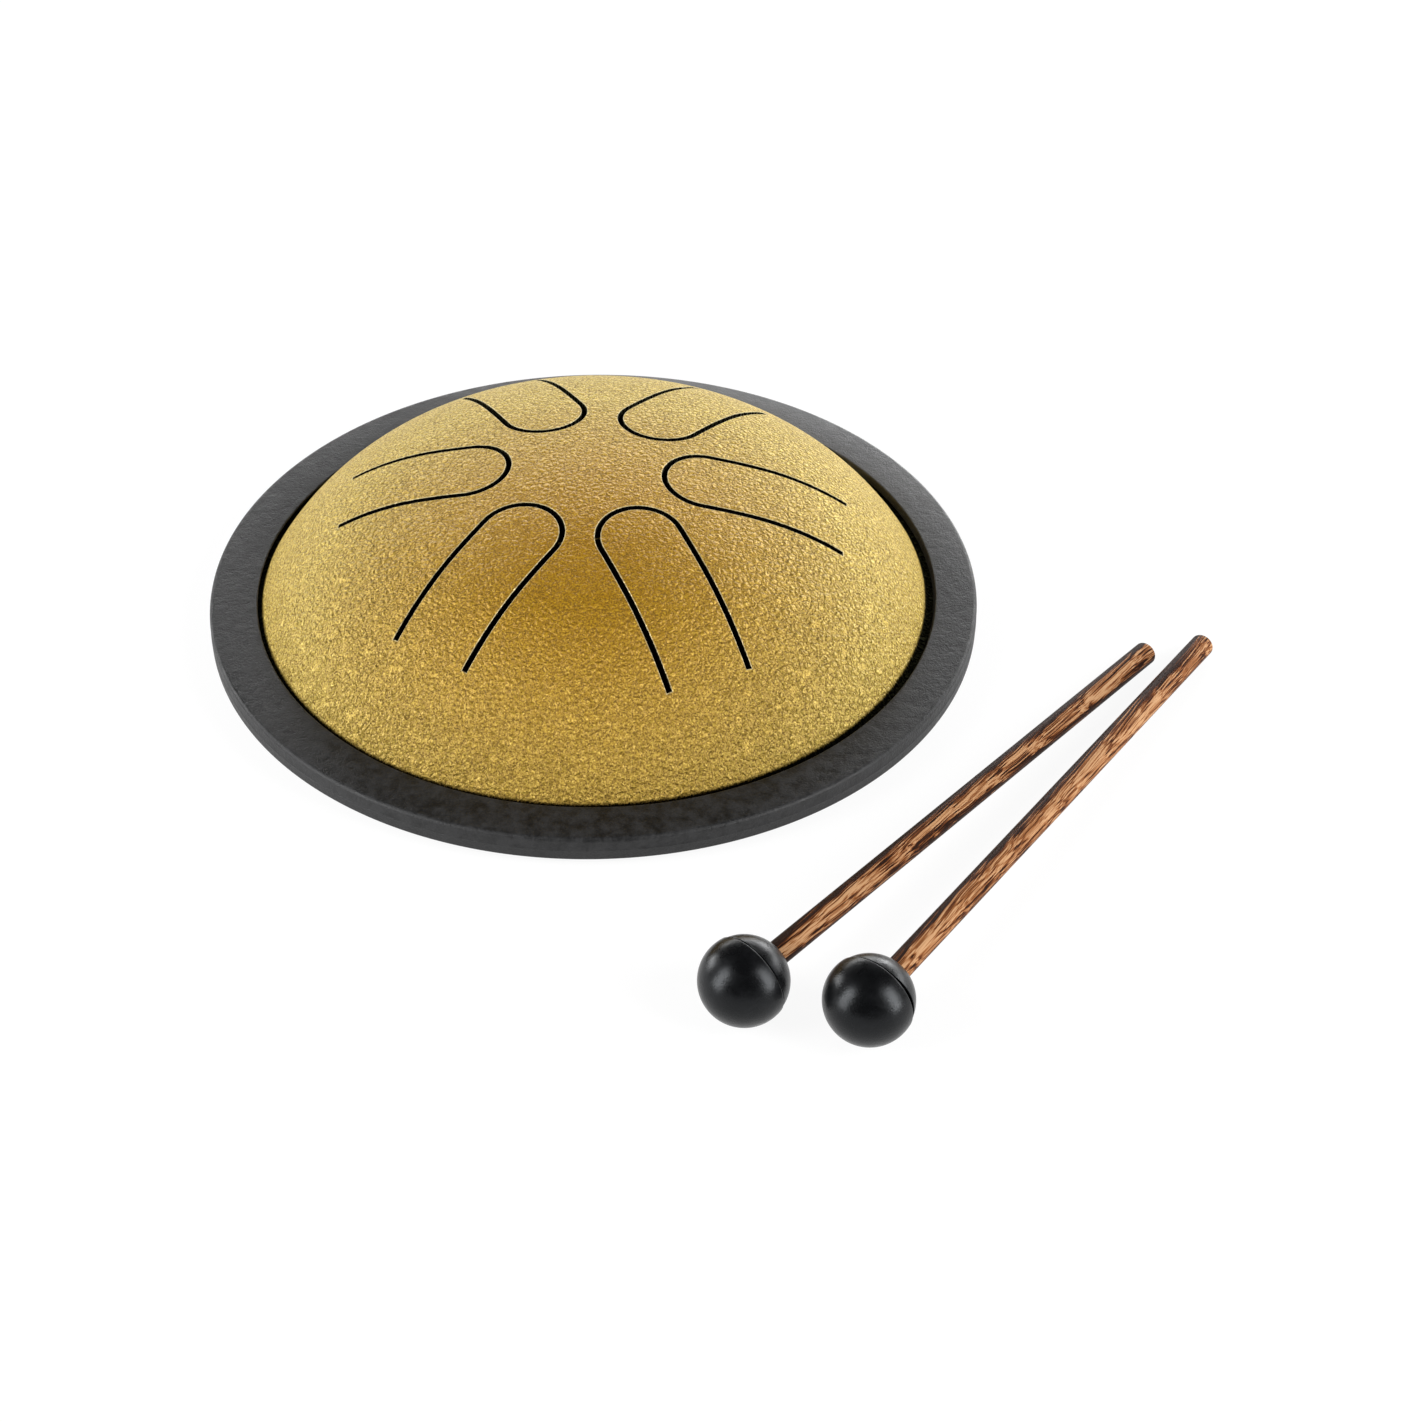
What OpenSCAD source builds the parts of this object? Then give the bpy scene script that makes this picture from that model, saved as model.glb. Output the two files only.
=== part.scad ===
// Steel tongue drum, 180 mm across: a pressed steel dome with six tongues cut by U-shaped slots,
// closed below by a flanged plate with a sound port. A grooved rubber ring grips both flanges,
// four rubber feet lift the drum, and two rubber-headed mallets lie in front of it.
// Millimetres, +Z up. The origin is on the surface that the drum stands on, under its middle.

/* [Drum body] */
// Outer diameter of the rubber ring, the drum's full width
ring_d = 180; // [180:0.5:184]
// Height of the ring's outer wall
ring_h = 6; // [5.8:0.1:7]
// Gap between the ring and the surface that the drum stands on
ring_lift = 2; // [1.5:0.1:4]
// Width of the ring's flat top face
ring_w = 10.2; // [9:0.1:10.5]
// How much the ring's top face rises towards the dome
ring_rise = 0.2; // [0.1:0.05:0.4]
// Outer diameter of the steel flanges inside the ring
flange_d = 173; // [170:0.5:174]

/* [Dome] */
// Height of the dome's middle above the underside of the ring
dome_h = 39.4; // [39.2:0.1:39.8]
// Thickness of the dome's steel sheet
dome_t = 1.6; // [1.2:0.1:1.8]
// Radius of the crown, the flatter middle of the dome
crown_r = 159.5; // [158:0.5:161]
// Radius of the arc that runs from the crown down the side
side_r = 62.7; // [62:0.1:63.5]
// Distance of that arc's centre from the drum's axis
side_x = 23.6; // [23.2:0.1:24]
// Inside radius of the bend where the side turns out to the flange
bend_r = 1.5; // [1:0.1:2]

/* [Tongues] */
// Width of each tongue, between the middles of its two slots
tongue_w = 19.2; // [17:0.1:20]
// Width of the slots
slot_w = 1.2; // [0.8:0.1:1.5]
// Bearing of the first tongue, anticlockwise from +X
first_tongue = -4; // [-30:1:30]
// Distance of each tongue's round tip from the axis, one for each note
tongue_tip = [16.6, 17.8, 18.8, 19.3, 18.0, 17.0];
// Distance from the axis at which each tongue's slots end, one for each note
tongue_root = [58.2, 57.2, 56.0, 57.8, 60.6, 62.4];

/* [Base] */
// Thickness of the bottom plate
plate_t = 1.2; // [1:0.1:1.4]
// Radius of the raised middle of the bottom plate
panel_r = 58; // [50:0.5:59]
// Height of that raised middle
panel_rise = 2.5; // [1.5:0.1:4]
// Diameter of the sound port
port_d = 40; // [20:1:60]
// Diameter of a rubber foot where it meets the plate
foot_d = 13; // [10:0.5:14]
// Distance of the feet from the drum's axis
foot_at = 70; // [68:0.5:72]

/* [Mallets] */
// Diameter of a mallet's rubber head
head_d = 19; // [18:0.5:21]
// Diameter of a mallet's wooden stick
stick_d = 5.4; // [5:0.1:7]
// Length from the middle of the head to the free end of the stick
stick_reach = 149; // [140:1:150]
// Length of stick that goes on past the middle of the head, inside it
stick_seat = 3; // [2:0.5:5]
// Distance from the middle of the head to its moulding seam, on the stick's side
seam_at = 2; // [1:0.1:3]
// Step in radius at that seam
seam_step = 0.2; // [0.1:0.05:0.3]
// Where the left mallet's head lies
left_head = [35.0, -132.9];
// Bearing of the left mallet, from its head to its free end
left_bearing = 51; // [40:1:52]
// Where the right mallet's head lies
right_head = [59.9, -137.9];
// Bearing of the right mallet
right_bearing = 56.4; // [54:0.2:60]

/* [Hidden] */
$fn = 96;

gold = [0.78, 0.60, 0.24];
charcoal = [0.19, 0.19, 0.20];
black_rubber = [0.07, 0.07, 0.08];
brown_wood = [0.55, 0.33, 0.17];

// Heights, from the surface that the drum stands on
ring_z = ring_lift;
lip_t = 1.5;
plate_z = ring_z + lip_t;
flange_z = plate_z + plate_t;
flange_top = flange_z + dome_t;
dome_top = ring_z + dome_h;

// The dome's section is a crown arc, a side arc that meets it without a corner, and the bend
crown_c = [0, dome_top - crown_r];
side_c = [side_x, crown_c[1] + sqrt(pow(crown_r - side_r, 2) - side_x * side_x)];
join_angle = atan2(side_c[1] - crown_c[1], side_x);
foot_angle = asin((flange_top + bend_r - side_c[1]) / (side_r + bend_r));
bend_c = side_c + (side_r + bend_r) * [cos(foot_angle), sin(foot_angle)];

tongues = len(tongue_tip);
tongue_pitch = 360 / tongues;

// The ring's rounded edges and groove
ring_top_round = 1;
ring_foot_round = 0.7;
groove_clearance = 0.3;
ring_inner_r = ring_d / 2 - ring_w;
groove_r = flange_d / 2 + groove_clearance;
swage_shift = plate_t * tan(22.5);

// The feet
foot_h = plate_z;
foot_taper = 0.8;
foot_round = 0.8;

// A mallet lies on its head and on the rounded end of its stick, which tips it by this angle
stick_round = 0.6;
rest_reach = stick_reach - stick_round;
rest_drop = stick_d / 2 - stick_round;
droop = asin((head_d / 2 - stick_round) / norm([rest_reach, rest_drop])) - atan(rest_drop / rest_reach);

// Points of an arc about c, from angle a to angle b
function arc(c, r, a, b, steps = 6) =
    [for (i = [0:steps]) c + r * [cos(a + (b - a) * i / steps), sin(a + (b - a) * i / steps)]];

// The part of a ring of sheet, of outer radius r and thickness t about c, from angle a to angle b
module arc_band(c, r, t, a, b) {
    intersection() {
        translate(c) difference() {
            circle(r);
            circle(r - t);
        }
        polygon(concat([c], arc(c, 2 * r, a, b, 2)));
    }
}

// Half of the dome's section: crown, side, bend and flange
module dome_section() {
    arc_band(crown_c, crown_r, dome_t, join_angle, 90);
    arc_band(side_c, side_r, dome_t, foot_angle, join_angle);
    arc_band(bend_c, bend_r + dome_t, dome_t, foot_angle + 180, 270);
    translate([bend_c[0], flange_z]) square([flange_d / 2 - bend_c[0], dome_t]);
}

// One tongue's slot in plan: a half ring round its tip, and two parallel legs out to its root
module slot_outline(tip, root) {
    end_x = tip + tongue_w / 2;
    difference() {
        translate([end_x, 0]) circle(d = tongue_w + slot_w);
        translate([end_x, 0]) circle(d = tongue_w - slot_w);
        translate([end_x, -tongue_w]) square([tongue_w, 2 * tongue_w]);
    }
    for (side = [-1, 1])
        translate([end_x, (side * tongue_w - slot_w) / 2]) square([root - end_x, slot_w]);
}

// Pressed steel dome: the six tongues are parts of this one sheet, joined to it at their roots
module top_shell() {
    color(gold) difference() {
        rotate_extrude() dome_section();
        for (i = [0:tongues - 1])
            rotate([0, 0, first_tongue + i * tongue_pitch])
                translate([0, 0, flange_top + 2])
                    linear_extrude(dome_top) slot_outline(tongue_tip[i], tongue_root[i]);
    }
}

// Bottom plate: flat where the feet and the ring hold it, pressed up in the middle, with the port
module bottom_shell() {
    under = [
        [flange_d / 2, plate_z],
        [panel_r + panel_rise, plate_z],
        [panel_r, plate_z + panel_rise],
        [port_d / 2, plate_z + panel_rise],
    ];
    over = [
        [port_d / 2, under[3][1] + plate_t],
        under[2] + [swage_shift, plate_t],
        under[1] + [swage_shift, plate_t],
        [flange_d / 2, under[0][1] + plate_t],
    ];
    color(gold) rotate_extrude() polygon(concat(under, over));
}

// Rubber ring: its groove grips the two flanges, and its upper lip ends just short of the dome
module edge_ring() {
    outer_r = ring_d / 2;
    top_z = ring_z + ring_h;
    lip_round = 0.4;
    lip_c = [ring_inner_r + lip_round, top_z + ring_rise - lip_round];
    color(charcoal) rotate_extrude() polygon(concat(
        arc([outer_r - ring_foot_round, ring_z + ring_foot_round], ring_foot_round, -90, 0),
        arc([outer_r - ring_top_round, top_z - ring_top_round], ring_top_round, 0, 90),
        arc(lip_c, lip_round, 90, 180, 4),
        [[ring_inner_r, flange_top], [groove_r, flange_top], [groove_r, plate_z], [ring_inner_r, plate_z]],
        arc([ring_inner_r + lip_round, ring_z + lip_round], lip_round, 180, 270, 4)
    ));
}

// Rubber foot under the plate, tapering to a rounded lower edge; quarter counts from the rear right
module foot(quarter) {
    low_r = foot_d / 2 - foot_taper;
    color(charcoal) rotate([0, 0, 45 + 90 * quarter]) translate([foot_at, 0, 0])
        rotate_extrude() polygon(concat(
            [[0, 0]],
            arc([low_r - foot_round, foot_round], foot_round, -90, 0, 4),
            [[foot_d / 2, foot_h], [0, foot_h]]
        ));
}

// Lays a mallet's piece on the surface: along X from the middle of the head to the free end
module laid(head, bearing) {
    translate([head[0], head[1], head_d / 2]) rotate([0, droop, bearing]) rotate([0, 90, 0]) children();
}

// Turned wooden stick with a softened free end
module stick(head, bearing) {
    stick_r = stick_d / 2;
    color(brown_wood) laid(head, bearing) rotate_extrude() polygon(concat(
        [[0, -stick_seat], [stick_r, -stick_seat]],
        arc([stick_r - stick_round, stick_reach - stick_round], stick_round, 0, 90),
        [[0, stick_reach]]
    ));
}

// Moulded rubber ball with a stepped seam and a blind hole for the stick
module ball(head, bearing) {
    color(black_rubber) laid(head, bearing) difference() {
        rotate_extrude() {
            intersection() {
                circle(d = head_d);
                translate([0, -head_d]) square([head_d, head_d + seam_at]);
            }
            intersection() {
                circle(d = head_d - 2 * seam_step);
                translate([0, seam_at]) square(head_d);
            }
        }
        translate([0, 0, -stick_seat]) cylinder(d = stick_d, h = stick_reach);
    }
}

module foot_rear_right() { foot(0); }
module foot_rear_left() { foot(1); }
module foot_front_left() { foot(2); }
module foot_front_right() { foot(3); }
module left_mallet_stick() { stick(left_head, left_bearing); }
module left_mallet_head() { ball(left_head, left_bearing); }
module right_mallet_stick() { stick(right_head, right_bearing); }
module right_mallet_head() { ball(right_head, right_bearing); }

top_shell();
bottom_shell();
edge_ring();
foot_rear_right();
foot_rear_left();
foot_front_left();
foot_front_right();
left_mallet_stick();
left_mallet_head();
right_mallet_stick();
right_mallet_head();
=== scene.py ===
"""Dresses the steel tongue drum and its two mallets: fine surfaces, finishes, camera and studio.

Metres and degrees, +Z up, with the origin on the surface that the drum stands on, under its middle.
Plan points are complex numbers, x + iy seen from above. So are section points, radius + i height.
"""

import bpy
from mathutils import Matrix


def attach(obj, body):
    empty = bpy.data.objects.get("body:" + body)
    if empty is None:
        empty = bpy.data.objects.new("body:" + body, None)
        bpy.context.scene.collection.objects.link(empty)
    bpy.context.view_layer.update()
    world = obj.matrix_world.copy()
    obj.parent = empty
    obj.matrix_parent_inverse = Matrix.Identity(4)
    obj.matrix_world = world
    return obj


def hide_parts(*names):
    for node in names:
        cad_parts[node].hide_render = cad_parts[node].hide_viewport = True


bl_info = {
    "name": "Steel Tongue Drum",
    "version": (1, 0, 0),
    "blender": (4, 5, 0),
    "location": "View3D > Sidebar > Tongue Drum",
    "description": "Builds a steel tongue drum, its mallets and a studio",
    "category": "Object",
}

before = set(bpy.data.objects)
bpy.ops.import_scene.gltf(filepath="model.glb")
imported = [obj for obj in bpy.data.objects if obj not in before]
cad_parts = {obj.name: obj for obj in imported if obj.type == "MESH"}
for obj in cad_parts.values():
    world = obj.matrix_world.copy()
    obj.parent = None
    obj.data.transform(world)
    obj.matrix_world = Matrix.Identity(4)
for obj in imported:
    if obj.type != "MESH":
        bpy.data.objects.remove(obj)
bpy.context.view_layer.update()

from math import asin, atan, cos, degrees, hypot, pi, radians, sin, sqrt

import bmesh
import bpy
import numpy as np
from bpy.props import FloatProperty, FloatVectorProperty, PointerProperty
from bpy.types import Operator, Panel, PropertyGroup
from mathutils import Matrix, Vector

MM = 0.001

# Sizes that no setting changes
SEAT = 1.5 * MM  # rubber between the ring's underside and the flanges
STICK_ROUND = 0.6 * MM  # rounding of a stick's free end
FOOT_ROUND = 0.8 * MM  # rounding of a foot's lower edge, which also tapers in by that much

# How a mesh is joined and shaded
MERGE_DISTANCE = 0.5e-6
SHARP_ANGLE = radians(38)


# ---- sizes and colours


def number(name, description, default, **settings):
    """A number, with any further settings of its property."""
    return FloatProperty(name=name, description=description, default=default, **settings)


def numbers(name, description, default, **settings):
    """Several numbers in one property."""
    return FloatVectorProperty(
        name=name, description=description, default=default, size=len(default), **settings
    )


def length(name, description, millimetres):
    """A length that the panel shows in the scene's units."""
    return number(name, description, millimetres * MM, min=0, precision=5, unit="LENGTH")


def lengths(name, description, *millimetres):
    """Several lengths."""
    return numbers(name, description, [each * MM for each in millimetres], unit="LENGTH")


def colour(name, description, *channels):
    """A linear colour: red, green and blue."""
    return numbers(name, description, channels, min=0, max=1, subtype="COLOR")


def fraction(name, description, default):
    """A number from 0 to 1."""
    return number(name, description, default, min=0, max=1, subtype="FACTOR")


def angle(name, description, default):
    """An angle, given in degrees."""
    return number(name, description, radians(default), subtype="ANGLE")


class DrumSizes(PropertyGroup):
    """The drum's own sizes."""

    ring_diameter: length("Ring diameter", "Outer diameter of the rubber ring", 180)
    ring_height: length("Ring height", "Height of the ring's outer wall", 6)
    ring_lift: length("Ring lift", "Gap under the ring", 2)
    ring_width: length("Ring width", "Width of the ring's top face", 10.2)
    ring_rise: length("Ring rise", "Rise of the ring's top face towards the dome", 0.2)
    ring_bead: length("Ring bead", "Height of the parting line round the ring", 0.06)
    lip_lean: length("Lip lean", "How far the upper lip leans in", 0.3)
    lip_shift: length("Lip shift", "How far to the right that lip sits", 0.7)
    flange_diameter: length("Flange diameter", "Outer diameter of the steel flanges", 173)
    dome_height: length("Dome height", "Height above the ring's underside", 39.4)
    dome_sheet: length("Dome sheet", "Thickness of the dome's steel", 1.6)
    crown_radius: length("Crown radius", "Radius of the dome's flatter middle", 159.5)
    side_radius: length("Side radius", "Radius of the dome's side arc", 62.7)
    side_offset: length("Side offset", "From the axis to that arc's centre", 23.6)
    bend_radius: length("Bend radius", "Inside radius of the bend above the flange", 1.5)
    tongue_width: length("Tongue width", "Width between the middles of its slots", 19.2)
    slot_width: length("Slot width", "Width of the slots", 1.2)
    slot_edge: length("Slot edge", "Rounding of the slots' edges", 0.26)
    first_tongue: angle("First tongue", "Its bearing, anticlockwise from +X", -4)
    tongue_tips: lengths(
        "Tongue tips", "From the axis to each round tip", 16.6, 17.8, 18.8, 19.3, 18.0, 17.0
    )
    tongue_roots: lengths(
        "Tongue roots", "From the axis to its slots' ends", 58.2, 57.2, 56.0, 57.8, 60.6, 62.4
    )
    plate_sheet: length("Plate sheet", "Thickness of the bottom plate", 1.2)
    panel_radius: length("Panel radius", "Radius of the bottom plate's raised middle", 58)
    panel_rise: length("Panel rise", "Height of that raised middle", 2.5)
    port_diameter: length("Port diameter", "Diameter of the sound port", 40)
    foot_diameter: length("Foot diameter", "Diameter where it meets the plate", 13)
    foot_circle: length("Foot circle", "Distance of the feet from the axis", 70)


class MalletSizes(PropertyGroup):
    """One mallet: where it lies and how its head was moulded."""

    head_diameter: length("Head diameter", "Diameter of the rubber head", 19)
    stick_diameter: length("Stick diameter", "Diameter of the wooden stick", 5.4)
    stick_reach: length("Stick reach", "From the head's middle to the free end", 149)
    stick_seat: length("Stick seat", "Length of stick past the head's middle", 3)
    seam_distance: length("Seam distance", "From the head's middle to its seam", 2)
    seam_step: length("Seam step", "Step in radius at the seam", 0.2)
    place: numbers("Place", "Where the head lies, from above", (0, 0), subtype="XYZ_LENGTH")
    bearing: angle("Bearing", "Direction from the head to the free end", 51)
    seam_tilt: angle("Seam tilt", "How far the seam is out of square", 12)
    seam_turn: angle("Seam turn", "Side of the stick that the seam leans to", -147)
    seam_gape: length("Seam gape", "Width of the opened part of the seam", 0)
    gape_turn: angle("Gape turn", "Place of the opened part, round the seam", 250)
    # Painted shade across each stick, as light falls round it: these three place and size it
    wood_turn: angle("Wood turn", "Side towards which the wood darkens", 126)
    wood_heart: number("Wood lit line", "Where across the stick the wood is palest", 0)
    wood_fall: number("Wood fall", "How much the wood darkens away from there", 0.4)
    grain_slant: angle("Grain slant", "How far the grain is out of line", 3)
    wood_seed: number("Wood seed", "Picks another piece of wood", 1)
    streak_size: number("Streaks", "How bold the streaks in the wood are", 1, min=0, max=2)


class Finishes(PropertyGroup):
    """Colours and roughness of the four finishes."""

    gold: colour("Gold", "Powder coat on the steel", 0.365, 0.175, 0.0012)
    # Painted sheen: the two pale colours stand in for the glare of the side lights, towards the
    # sides
    gold_pale: colour("Pale gold", "The same coat with painted sheen, to the sides", 0.55, 0.385, 0.075)
    gold_bright: colour("Bright gold", "Flakes in the coat that catch the light", 0.64, 0.38, 0.004)
    gold_bright_pale: colour("Bright pale gold", "Such flakes with painted sheen, to the sides", 0.88, 0.69, 0.18)
    # Painted shade in the creases and in the grain's hollows
    gold_crease: colour("Gold creases", "The same coat with painted shade in its creases", 0.12, 0.062, 0.003)
    # Thin coat on the rounded slot edges, with a painted highlight that such an edge catches
    gold_cut: colour("Cut edge", "Thin coat and painted highlight on the slots' edges", 0.66, 0.54, 0.28)
    # Painted shade: near black in the slot walls, on the drum's inside faces and in the gap at the
    # dome's foot
    bare_steel: colour("Painted shade black", "Near black, painted shade", 0.002, 0.0018, 0.0015)
    gold_roughness: fraction("Gold roughness", "Roughness of the powder coat", 0.55)
    gold_metal: fraction("Gold metal", "How metallic the powder coat is", 0.25)
    wrinkle_size: length("Wrinkle size", "Distance between the coat's creases", 1.55)
    # From this place in front, the crease net and the painted sheen grow outwards
    calm_place: length("Calm place", "How far in front it is calmest", 30)
    net_reach: length("Net reach", "How fast creases grow from there", 50)
    wrinkle_depth: length("Wrinkle depth", "Depth of those creases", 0.64)
    crease_contrast: fraction("Crease contrast", "How much the creases show", 0.48)
    grain_size: length("Grain size", "Size of the coat's fine grain", 0.42)
    grain_contrast: fraction("Grain contrast", "How much that grain shows", 0.58)
    charcoal: colour("Charcoal", "Rubber of the ring and feet", 0.0029, 0.0029, 0.003)
    # Painted light: the ring's rubber is paler towards one side, where more light falls
    charcoal_faded: colour("Lit charcoal", "That rubber where it is faded", 0.08, 0.08, 0.082)
    faded_side: angle("Lit side", "Bearing of the ring's faded side", 60)
    faded_reach: length("Lit reach", "Distance at which it is fully faded", 88)
    charcoal_roughness: fraction("Charcoal roughness", "Roughness of the ring's rubber", 0.42)
    black: colour("Black", "Rubber of the mallet heads", 0.0016, 0.0017, 0.002)
    black_roughness: fraction("Black roughness", "Roughness of the mallet heads", 0.17)
    wood_dark: colour("Dark wood", "Darkest streaks of the sticks", 0.018, 0.006, 0.0025)
    wood_brown: colour("Brown wood", "Brown grain of the sticks", 0.12, 0.034, 0.009)
    wood_tan: colour("Tan wood", "Light grain of the sticks", 0.275, 0.105, 0.034)
    wood_pale: colour("Pale wood", "Thin pale lines in the sticks", 0.50, 0.28, 0.14)
    wood_roughness: fraction("Wood roughness", "Roughness of the oiled wood", 0.45)


class StudioSettings(PropertyGroup):
    """Camera, floor and light."""

    eye: numbers("Eye", "Camera's place", (0.02774, -0.54875, 0.4248), subtype="XYZ_LENGTH")
    elevation: angle("Elevation", "How far the camera looks down", 39.70)
    roll: angle("Roll", "Turn of the picture about its middle", 0.63)
    lens: number("Lens", "Focal length on a 36 mm sensor", 73.96, unit="CAMERA")
    floor_radius: length("Floor radius", "Radius of the floor", 30000)
    floor_shade: fraction("Floor shade", "How strong shadows show on the floor", 0.13)
    # Painted shadow under the drum, also seen through slots and port
    dark_radius: length("Dark radius", "Radius of the dark floor under the drum", 85)
    sky: number("Sky", "Strength of the even light from all round", 0.13, min=0)


# ---- curves and grids


def arc(centre, radius, start, end, steps):
    """Section points on a circle, from start to end in degrees: centre + radius * e^(i angle)."""
    return centre + radius * np.exp(1j * np.radians(np.linspace(start, end, steps + 1)))


def through(*parts):
    """One line of points through all the parts, each a number or an array."""
    return np.concatenate([np.atleast_1d(np.asarray(part, complex)) for part in parts])


def ruled(first, second, steps):
    """Straight lines from each point of one line to its partner on another."""
    share = np.linspace(0, 1, steps + 1)[None, :]
    return first[:, None] * (1 - share) + second[:, None] * share


def swept(section, around, centre=0j):
    """The section carried to each direction: (radius, height) becomes radius * e^(it) + centre."""
    plan = section.real[:, None] * around + centre
    height = np.broadcast_to(section.imag[:, None], plan.shape)
    return np.stack([plan.real, plan.imag, height], -1)


def revolved(section, turns, centre=0j):
    """The section carried round an upright axis."""
    return swept(section, np.exp(2j * pi * np.arange(turns) / turns), centre)


def grid_faces(rows, columns, wrap_rows, wrap_columns):
    """Four corners of each cell of a grid that may close on itself either way."""
    row = np.arange(rows if wrap_rows else rows - 1)[:, None]
    column = np.arange(columns if wrap_columns else columns - 1)[None, :]
    next_row, next_column = (row + 1) % rows, (column + 1) % columns
    corners = [
        row * columns + column,
        next_row * columns + column,
        next_row * columns + next_column,
        row * columns + next_column,
    ]
    return np.stack(np.broadcast_arrays(*corners), -1).reshape(-1, 4)


def closed_mesh(name, patches):
    """One closed mesh from patches, each (points on a grid, wrap rows, wrap columns).

    Points that meet are merged, which closes seams and poles, and faces are turned outwards."""
    points, faces, count = [], [], 0
    for grid, wrap_rows, wrap_columns in patches:
        rows, columns = grid.shape[:2]
        faces.append(grid_faces(rows, columns, wrap_rows, wrap_columns) + count)
        points.append(grid.reshape(-1, 3))
        count += rows * columns
    points, faces = np.concatenate(points), np.concatenate(faces)
    mesh = bpy.data.meshes.new(name)
    mesh.vertices.add(len(points))
    mesh.vertices.foreach_set("co", points.astype(np.float32).ravel())
    mesh.loops.add(faces.size)
    mesh.loops.foreach_set("vertex_index", faces.astype(np.int32).ravel())
    mesh.polygons.add(len(faces))
    mesh.polygons.foreach_set("loop_start", np.arange(0, faces.size, 4, dtype=np.int32))
    mesh.update(calc_edges=True)
    work = bmesh.new()
    work.from_mesh(mesh)
    bmesh.ops.remove_doubles(work, verts=work.verts, dist=MERGE_DISTANCE)
    open_edges = sum(not edge.is_manifold for edge in work.edges)
    if open_edges:
        raise RuntimeError(f"{name} has {open_edges} edges that don't join two faces")
    bmesh.ops.recalc_face_normals(work, faces=work.faces)
    work.to_mesh(mesh)
    work.free()
    mesh.shade_smooth()
    mesh.set_sharp_from_angle(angle=SHARP_ANGLE)
    return mesh


def vertex_points(mesh):
    """The mesh's points as an array."""
    points = np.empty(len(mesh.vertices) * 3, np.float32)
    mesh.vertices.foreach_get("co", points)
    return points.reshape(-1, 3).astype(float)


def put_attribute(mesh, name, values):
    """Stores a number for each point of the mesh."""
    mesh.attributes.new(name, "FLOAT", "POINT").data.foreach_set("value", values.astype(np.float32))


def put_object(name, data):
    """Puts a new object in the scene."""
    thing = bpy.data.objects.new(name, data)
    bpy.context.scene.collection.objects.link(thing)
    return thing


def put_piece(mesh, finish, body, node):
    """Adds a piece with its finish. It rides on a body and stands for a CAD node."""
    piece = put_object(mesh.name, mesh)
    mesh.materials.append(finish)
    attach(piece, body)
    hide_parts(node)


# ---- finishes


class Value:
    """A number inside a finish. Python's operators on it add Math nodes."""

    def __init__(self, finish, socket):
        self.finish, self.socket = finish, socket

    def math(self, operation, *values):
        return self.finish.add("Math", {"operation": operation}, dict(enumerate(values)))

    def __add__(self, other):
        return self.math("ADD", self, other)

    def __radd__(self, other):
        return self.math("ADD", other, self)

    def __sub__(self, other):
        return self.math("SUBTRACT", self, other)

    def __rsub__(self, other):
        return self.math("SUBTRACT", other, self)

    def __mul__(self, other):
        return self.math("MULTIPLY", self, other)

    def __rmul__(self, other):
        return self.math("MULTIPLY", other, self)

    def clamp(self):
        return self.finish.add("Clamp", {}, {"Value": self})

    def ramp(self, low, high):
        """0 up to low, 1 from high on, smooth between."""
        sockets = {"Value": self, "From Min": low, "From Max": high}
        return self.finish.add("MapRange", {"interpolation_type": "SMOOTHSTEP"}, sockets)


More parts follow.
